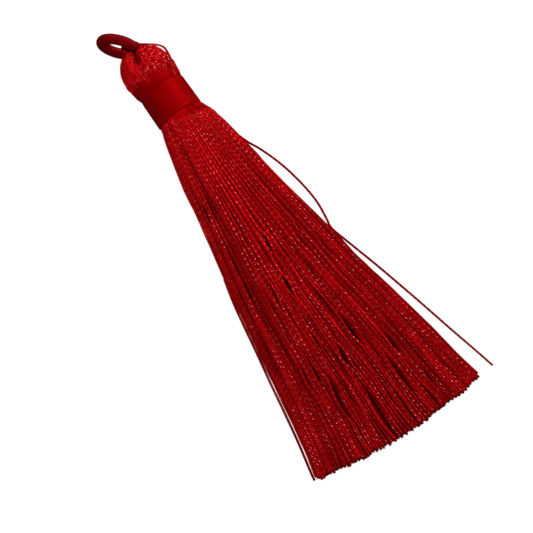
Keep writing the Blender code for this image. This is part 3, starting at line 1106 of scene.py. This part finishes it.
@dataclass
class NeckBinding:
    """The close winding of floss silk round the neck."""

    start: float = -3.02
    full: float = -2.22          # past which the turns no longer bed into the head
    end: float = 3.02
    radii: Triple = (4.13, 4.25, 4.33)   # at those places
    strand: Strand = Strand(0.42, 0.22, 21, 72)
    points: int = 17             # of the line that it is wound round

    def build(self, winder: Winder, silk: Material) -> Object:
        """Wind the binding as one long strand.

        Args:
            winder: What winds it.
            silk: Its material.

        Returns:
            The piece, as one plain mesh.
        """
        half = self.strand.width / 2
        x = np.linspace(self.start + half, self.end - half, self.points)
        middle = np.stack((x, np.zeros_like(x), np.full_like(x, AXIS_HEIGHT)), axis=1)
        radius = np.interp(x, (self.start, self.full, self.end), self.radii) - self.strand.depth / 2
        return winder.wind("neck_binding_winding", middle, radius, self.strand, silk)


# Head

@dataclass
class HeadThreads:
    """The skein above the neck: threads that fold through the ring and come back down."""

    spinner: ThreadSpinner
    ring: HangingRing
    # Half sizes of the folded skein, and where its middle lies along Y and Z.
    sections: Measures = Measures(
        "x half_width half_height side height",
        (-11.35, 1.80, 2.75, -0.55, 4.45), (-10.80, 2.62, 3.05, -0.48, 4.45),
        (-10.27, 3.20, 3.40, -0.36, 4.45), (-9.65, 3.68, 3.80, -0.30, 4.46),
        (-8.70, 4.17, 4.20, -0.32, 4.48), (-7.50, 4.54, 4.50, -0.30, 4.50),
        (-6.00, 4.69, 4.62, -0.26, 4.50), (-4.70, 4.63, 4.54, -0.17, 4.42),
        (-3.75, 4.50, 4.44, -0.07, 4.22), (-3.05, 4.28, 4.27, 0.00, 4.13),
        (-2.75, 4.16, 4.16, 0.00, AXIS_HEIGHT), (-2.40, 3.80, 3.80, 0.00, AXIS_HEIGHT),
        (-2.00, 3.50, 3.50, 0.00, AXIS_HEIGHT))
    # How the ring's end parts the head: edges in degrees from upright, towards +Y.
    clefts: Measures = Measures(
        "x left right depth",
        (-11.35, -32.0, 62.0, 0.3), (-10.80, -15.0, 42.0, 0.9), (-10.27, -16.0, 12.0, 1.6),
        (-9.65, -21.0, -7.0, 2.0), (-8.70, -22.0, -10.0, 1.9), (-7.90, -19.0, -13.0, 1.2),
        (-7.00, -15.0, -15.0, 0.0))
    # From which x the binding presses the threads flat, by degrees from upright.
    pressed: Measures = Measures(
        "angle x", (-180.0, -6.4), (-30.0, -6.2), (10.0, -6.0), (45.0, -4.6), (90.0, -4.6),
        (180.0, -6.4))
    pressed_length: float = 2.6  # over which they come to lie quite flat
    pressed_sink: float = 0.30   # by which they go under the smooth mass there
    pressed_rise: float = 0.30   # by which the mass comes up
    cleft_round: float = 9.0     # degrees over which a lobe rounds off into the cleft
    fold_from: float = 0.85      # from the ring's middle to the fold's nearest thread
    fold_reach: float = 1.75     # and to its farthest, against the ring
    fold_height: float = 1.55    # half of the fold's height there
    fold_length: float = 0.80    # that the threads run straight on each side of the ring's plane
    left_start: float = -10.2    # past which the left half is drawn in
    left_pull: float = 0.50      # by this share of its length
    left_onset: float = 3.0      # how soon it sets in past the middle
    gripped: Pair = (-6.6, -5.0)     # from where the binding's grip holds plies straight
    threads: int = 44            # each goes up one side and down the other
    inset: float = 0.23
    sink: float = 0.16           # how far a thread goes under where there is no room
    sink_soft: float = 0.12      # how gently threads share out the room
    layering: float = 0.618      # spreads neighbours over all depths
    wander: Pair = (1.2, 7.0)    # of a thread, in degrees, and its wave
    lift: Pair = (0.04, 4.0)     # of a thread off its depth, and its wave
    ring_room: float = 0.10      # between the ring and a thread's middle line
    slip: float = 0.30           # by which the plies turn unevenly from point to point, in radians
    tied: Pair = (-12.0, -10.8)  # where the ring's hole crowds the threads, and where it ends
    tied_girth: float = 0.62     # of a thread there
    flat_girth: float = 0.25     # what a thread gains under the binding's grip
    dye_spread: float = 0.25     # of single threads' tone
    flat_shade: float = 0.6      # painted shade: how much darker the threads are painted where the binding grips them
    fold_shade: float = 1.2      # and the painted shade in the fold
    fold_shaded: Pair = (-11.0, -9.4)    # over which that ends
    painted_light_side: Pair = (-4.0, -1.0)    # y over which the painted light on the left side fades out
    painted_light_tone: float = 0.6       # how much lighter it is painted
    core_inset: float = 0.32
    core_start: float = -10.5
    core_sides: int = 48
    seed: int = 5

    def __post_init__(self) -> None:
        """Start the source of chance."""
        self.chance = np.random.default_rng(self.seed)

    def furrow(self, x: Points, angle: Points) -> Points:
        """Work out how deep the cleft is, on the head's top and likewise on its underside.

        Args:
            x: Places along the axis.
            angle: Degrees from upright, towards +Y.

        Returns:
            The depth at each place.
        """
        left, right = self.clefts.at("left", x), self.clefts.at("right", x)
        away = [np.maximum(np.maximum(turn - right, left - turn), 0.0)
                for turn in (wrapped(angle), wrapped(180.0 - angle))]
        return self.clefts.at("depth", x) * np.exp(-(np.minimum(*away) / self.cleft_round) ** 2)

    def press(self, x: Points, angle: Points) -> Points:
        """Return how flat the binding presses the threads at x and an angle, from 0 to 1."""
        start = self.pressed.at("x", wrapped(angle))
        return np.clip((x - start) / self.pressed_length, 0.0, 1.0)

    def surface(self, x: Points, angle: Points, inset: Value) -> Points:
        """Find points on the head.

        Args:
            x: Places along the axis.
            angle: Degrees from upright, towards +Y.
            inset: How far under the head's outer face.

        Returns:
            The points, kept above the table.
        """
        under = self.furrow(x, angle) + inset
        turn = np.radians(angle)
        half_width, half_height, side, height = (
            self.sections.at(name, x) for name in ("half_width", "half_height", "side", "height"))
        y = side + np.sin(turn) * (half_width - under)
        z = height + np.cos(turn) * (half_height - under)
        left = np.clip(-self.left_onset * np.sin(turn), 0.0, 1.0)
        drawn = x - left * self.left_pull * np.minimum(x - self.left_start, 0.0)
        return np.stack((drawn, y, np.maximum(z, self.inset)), axis=1)

    def fold(self, share: float, place: float) -> Points:
        """Lead a thread through the ring, from its right side to its left.

        Args:
            share: The thread's place in the head, from its top (0) to its underside (1).
            place: Its place in the fold, from the ring's middle (0) to its end (1).

        Returns:
            Three points, the second in the ring's plane.
        """
        inward, _, across = np.array(self.ring.placement().to_3x3()).T
        rise = self.fold_height * math.cos(math.pi * share)
        reach = blend(self.fold_from, math.sqrt(self.fold_reach ** 2 - rise ** 2), place)
        crossing = np.array(self.ring.centre) + inward * reach + (0.0, 0.0, rise)
        run = across * math.copysign(self.fold_length, across[1])
        return np.array([crossing + run, crossing, crossing - run])

    def route(self, share: float, order: float) -> Route:
        """Route a thread from the neck, round the ring and back to the neck.

        Args:
            share: Its place in the head, from the top (0) to the underside (1).
            order: Its place in the fold, from 0 to 1, by which it also goes under its
                neighbours where there is no room.

        Returns:
            Its route.
        """
        stops = self.sections.stops[::-1]
        room = math.pi * self.sections.at("half_width", stops) / (self.threads * self.spinner.width)
        under = self.inset + self.sink * np.clip((order - room) / self.sink_soft + 1.0, 0.0, 1.0)
        sides = []
        for half_turn, edge in ((180.0, "right"), (-180.0, "left")):
            start = self.clefts.at(edge, stops)
            turn = start + (half_turn - 2 * start) * share
            turn = turn + self.wander[0] * smooth_noise(self.chance, stops, self.wander[1])
            lift = self.lift[0] * smooth_noise(self.chance, stops, self.lift[1])
            sunk = self.pressed_sink * self.press(stops, turn)
            sides.append(self.surface(stops, turn, under + sunk + lift))
        points = np.concatenate((sides[0], self.fold(share, order), sides[1][::-1]))
        points = self.ring.clear(points, self.ring_room)
        x, y, _ = points.T
        phase = self.chance.uniform(0, math.pi) + np.cumsum(
            self.chance.normal(0.0, self.slip, len(points)))
        grip = np.interp(x, self.gripped, (0, 1))
        girth = np.interp(x, self.tied, (self.tied_girth, 1.0)) + self.flat_girth * grip
        # Painted shade where the binding grips the threads and in the fold, and painted light on the left
        # side.
        tone = self.chance.normal(0.0, self.dye_spread) - self.flat_shade * grip
        tone += np.interp(y, self.painted_light_side, (self.painted_light_tone, 0.0))
        tone -= np.interp(x, self.fold_shaded, (self.fold_shade, 0.0))
        return Route(points, phase + self.spinner.untwisted(points, grip), girth, tone)

    def build_core(self, silk: Material) -> Object:
        """Model the mass of inner threads, dark between the outer ones and smooth by the binding, in a
        silk with painted shade.

        Args:
            silk: Its material.

        Returns:
            The piece.
        """
        angles = np.linspace(0.0, 360.0, self.core_sides, endpoint=False)
        rings = []
        for stop in self.sections.stops[self.sections.stops > self.core_start]:
            x = np.full_like(angles, stop)
            inset = self.core_inset - self.pressed_rise * self.press(x, angles)
            rings.append(self.ring.clear(self.surface(x, angles, inset), self.core_inset))
        return loft("head_inner_threads", rings, silk)

    def build(self, silk: Material, pressed: Material) -> list[Object]:
        """Spin the head's threads and model the mass under them.

        Args:
            silk: The threads' material.
            pressed: The mass's material, with painted shade.

        Returns:
            The two pieces.
        """
        routes = [self.route((index + 0.5) / self.threads, index * self.layering % 1.0)
                  for index in range(self.threads)]
        return [self.spinner.spin("head_threads", routes, Fineness.SEEN, silk), self.build_core(pressed)]


# Loose threads

@dataclass
class LooseThreads:
    """Threads that have sprung out of the skein, in the deepest tone as painted shade."""

    spinner: ThreadSpinner
    right: tuple[Triple, ...] = (
        (9.0, 5.4, 4.3), (13.0, 6.90, 3.6), (15.0, 7.95, 3.1), (17.8, 9.10, 2.5), (20.5, 9.97, 1.9),
        (23.3, 10.60, 1.3), (25.4, 10.92, 1.0), (27.1, 11.08, 0.75), (28.7, 11.09, 0.5),
        (30.2, 10.94, 0.35), (31.4, 10.80, 0.25), (32.4, 10.58, 0.25), (33.5, 10.66, 0.25),
        (35.3, 11.14, 0.25), (36.9, 11.60, 0.25), (42.4, 13.14, 0.25), (47.8, 14.53, 0.25),
        (53.2, 15.86, 0.25), (58.7, 17.16, 0.25), (64.1, 18.50, 0.25), (68.0, 19.42, 0.25))
    left: tuple[Triple, ...] = (
        (30.0, -9.6, 0.8), (34.0, -10.58, 0.5), (38.3, -11.37, 0.3), (43.7, -12.27, 0.25),
        (49.2, -13.27, 0.25), (54.6, -14.16, 0.25), (60.0, -15.12, 0.25), (65.4, -16.26, 0.25),
        (66.9, -16.52, 0.25))
    head_loop: tuple[Triple, ...] = (
        (-10.9, 1.7, 4.9), (-10.15, 3.0, 4.9), (-9.4, 3.94, 4.8), (-8.5, 4.44, 4.7),
        (-7.2, 4.42, 4.6), (-6.2, 4.25, 4.5), (-5.0, 4.05, 4.4))
    # Of the right thread, the left one and the loop.
    phases: Triple = (0.4, 1.7, 0.0)
    girths: Triple = (0.88, 0.94, 0.88)
    tone: float = -1.0           # of all three: painted shade, as deep as the deepest threads

    def build(self, silk: Material) -> list[Object]:
        """Spin the loose threads.

        Args:
            silk: Their material.

        Returns:
            The skirt's two as one piece, and the head's loop.
        """
        routes = [Route(np.array(line), phase, girth, self.tone) for line, phase, girth
                  in zip((self.right, self.left, self.head_loop), self.phases, self.girths)]
        return [self.spinner.spin("stray_threads", routes[:2], Fineness.STRAY, silk),
                self.spinner.spin("head_stray_loop", routes[2:], Fineness.STRAY, silk)]


# Studio

def aim(obj: Object, target: Vector, azimuth: float, elevation: float, distance: float) -> None:
    """Place a camera or light where it faces a target.

    Args:
        obj: The camera or light.
        target: What it faces, in millimetres.
        azimuth: Its direction from there in degrees, from -Y towards +X.
        elevation: Its height in degrees.
        distance: How far off it is, in millimetres.
    """
    turn, rise = math.radians(azimuth), math.radians(elevation)
    back = Vector((math.sin(turn) * math.cos(rise), -math.cos(turn) * math.cos(rise), math.sin(rise)))
    obj.location = (target + back * distance) * MM
    obj.rotation_euler = back.to_track_quat("Z", "Y").to_euler()


class Panel(NamedTuple):
    """A square light panel that faces the table under the neck."""

    name: str
    azimuth: float           # degrees, as the camera's
    elevation: float
    distance: float
    side: float
    watts: float
    glints: bool = True      # whether glossy silk mirrors it


@dataclass
class Studio:
    """A light table, soft lights and the camera."""

    camera_azimuth: float = 55.37    # degrees, from -Y towards +X
    camera_elevation: float = 79.0
    camera_distance: float = 400.0
    target: Triple = (32.2, -2.36, 0.0)
    picture_px: float = 533.0        # the rendered picture's side
    focal_px: float = 2344.0
    sensor: float = 36.0
    nearest: float = 10.0        # that the camera sees
    table_side: float = 3000.0
    table_drop: float = 0.01     # by which it clears the lowest threads
    sky: float = 0.525
    # The window and the ceiling light the whole tassel, the shade panel lifts its dark side, and
    # two small near ones draw the glints together at the neck and down its left.
    panels: tuple[Panel, ...] = (
        Panel("window_panel", 212.0, 35.0, 170.0, 68.0, 0.205),
        Panel("ceiling_panel", 141.0, 60.0, 220.0, 52.0, 0.05, glints=False),
        Panel("shade_panel", 10.0, 60.0, 200.0, 40.0, 0.03),
        Panel("neck_panel", 182.0, 62.0, 90.0, 13.0, 0.0075),
        Panel("side_panel", 356.0, 55.0, 80.0, 12.0, 0.003))

    def build_camera(self) -> None:
        """Place the camera and make it the scene's own."""
        data = bpy.data.cameras.new("camera")
        data.sensor_width = self.sensor
        data.lens = self.focal_px / self.picture_px * self.sensor
        data.clip_start = self.nearest * MM
        camera = in_scene("camera", data)
        aim(camera, Vector(self.target), self.camera_azimuth, self.camera_elevation,
            self.camera_distance)
        bpy.context.scene.camera = camera

    def build_table(self) -> None:
        """Lay the table top just under the tassel."""
        half, drop = self.table_side / 2 * MM, -self.table_drop * MM
        mesh = bpy.data.meshes.new("table_top")
        corners = [(-half, -half, drop), (half, -half, drop), (half, half, drop), (-half, half, drop)]
        mesh.from_pydata(corners, [], [(0, 1, 2, 3)])
        mesh.materials.append(LightTable().material())
        table = in_scene("table_top", mesh)
        table.visible_diffuse = False
        table.visible_glossy = False

    def build_light(self) -> None:
        """Light the tassel evenly from all round, and with the panels."""
        world = bpy.data.worlds.new("studio")
        world.use_nodes = True
        background = world.node_tree.nodes["Background"]
        background.inputs["Color"].default_value = linear("#FFFFFF")
        background.inputs["Strength"].default_value = self.sky
        world.cycles_visibility.glossy = False
        bpy.context.scene.world = world
        for panel in self.panels:
            data = bpy.data.lights.new(panel.name, "AREA")
            data.size = panel.side * MM
            data.energy = panel.watts
            light = in_scene(panel.name, data)
            light.visible_glossy = panel.glints
            aim(light, Vector(), panel.azimuth, panel.elevation, panel.distance)
        bpy.context.scene.view_settings.view_transform = "Standard"

    def build(self) -> None:
        """Set up the camera, table and lights."""
        self.build_camera()
        self.build_table()
        self.build_light()


def finish_piece(piece: Object, slot: str, node: str) -> None:
    """Hand a finished piece to the frame.

    Args:
        piece: The piece, in place.
        slot: The record's material slot that it stands in for, which is only logged.
        node: The solid that it stands for.
    """
    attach(piece, BODY)
    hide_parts(node)
    triangles = sum(len(polygon.vertices) - 2 for polygon in piece.data.polygons)
    LOG.info("%s: %d triangles, %s", piece.name, triangles, slot)


def main() -> None:
    """Build the dressed tassel in its studio."""
    logging.basicConfig(level=logging.INFO, format="%(name)s: %(message)s")
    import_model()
    Studio().build()
    skein = SKEIN_SILK.material()
    spinner, winder, ring = ThreadSpinner(), Winder(), HangingRing()
    for piece in (*SkirtThreads(spinner).build(skein),
                  *HeadThreads(spinner, ring).build(skein, PRESSED_SHADED_SILK.material()),
                  *LooseThreads(spinner).build(skein)):
        finish_piece(piece, "skein_silk", "thread_bundle")
    finish_piece(NeckBinding().build(winder, BINDING_SILK.material()), "binding_silk",
                 "neck_binding")
    finish_piece(ring.build(winder, RING_SILK.material()), "ring_silk", "hanging_ring")


if __name__ == "__main__":
    main()
